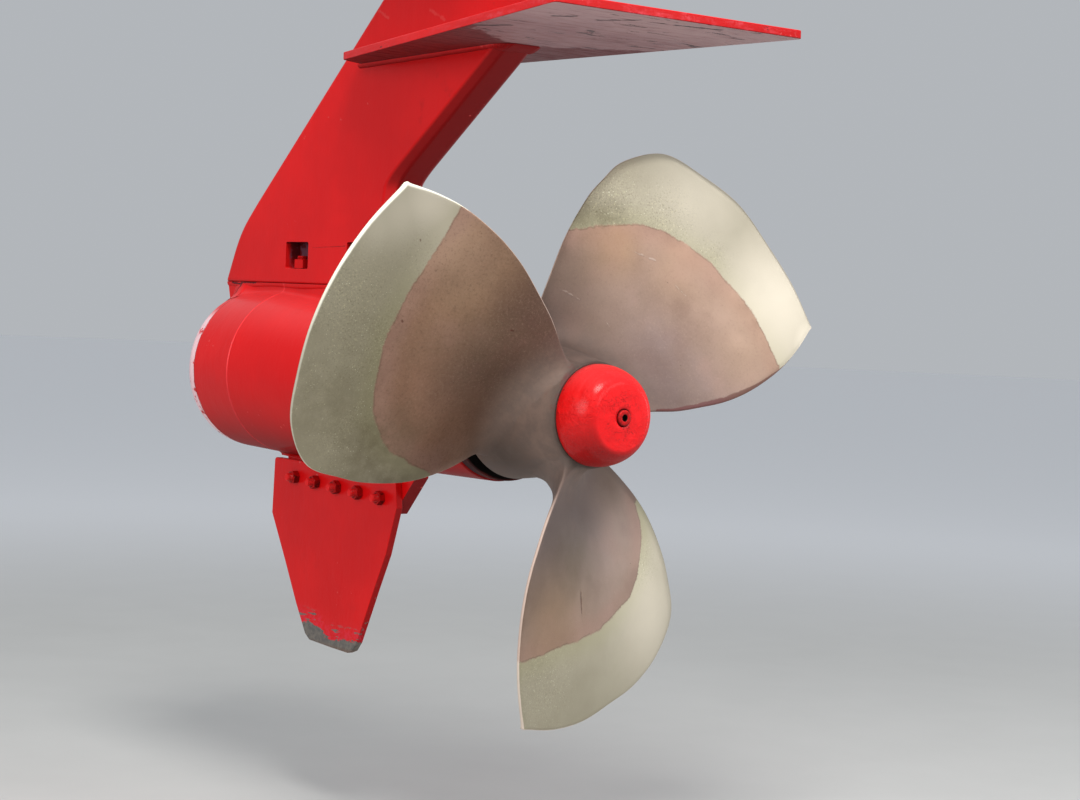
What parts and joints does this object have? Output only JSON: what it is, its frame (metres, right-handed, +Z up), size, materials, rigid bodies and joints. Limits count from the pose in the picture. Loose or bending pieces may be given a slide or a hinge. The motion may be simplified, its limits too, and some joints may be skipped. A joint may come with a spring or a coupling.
{
  "type": "ship propeller on its drive leg",
  "caption": "Bronze ship propeller with broad blades and a rounded hub cap, on a raked steel drive leg with gear housing, bolted skeg, horizontal plate and top flange.",
  "frame": {"origin": "centre of the top flange's upper face, which the leg hangs from", "axes": "+Z up, -Y aft along the shaft towards the hub cap, +X across to the side that the skeg isn't bolted to"},
  "size_m": [1.0614, 1.3956, 1.4297],
  "materials": {
    "red_paint": "glossy brushed paint, worn at edges",
    "bronze": "cast, with a pale polished outer band",
    "steel": "ground",
    "painted_bolts": "painted over with the leg",
    "primer": "thin, worn paint",
    "seal_rubber": "dull"
  },
  "bodies": {
    "leg": {"mounting_flange": "red_paint", "flange_weld": "red_paint", "drive_leg": "red_paint", "cavitation_plate": "red_paint", "plate_weld": "red_paint", "pocket_nut_port_1": "painted_bolts", "pocket_nut_port_2": "painted_bolts", "pocket_nut_starboard_1": "painted_bolts", "pocket_nut_starboard_2": "painted_bolts", "gear_housing": "red_paint", "nose_fairing": "red_paint", "bearing_cap": "primer", "shaft_seal": "seal_rubber", "skeg_plate": "red_paint", "skeg_bolt_1": "painted_bolts", "skeg_bolt_2": "painted_bolts", "skeg_bolt_3": "painted_bolts", "skeg_bolt_4": "painted_bolts", "skeg_bolt_5": "painted_bolts", "skeg_nut_1": "painted_bolts", "skeg_nut_2": "painted_bolts", "skeg_nut_3": "painted_bolts", "skeg_nut_4": "painted_bolts", "skeg_nut_5": "painted_bolts"},
    "propeller": {"propeller": "bronze", "propeller_shaft": "steel", "hub_cap": "red_paint", "cap_plug": "painted_bolts"}
  },
  "joints": [
    {"name": "propeller_spin", "type": "hinge", "parent": "leg", "child": "propeller", "pos_m": [0, -0.24, -0.88], "axis": [0, 1, 0], "continuous": true}
  ]
}
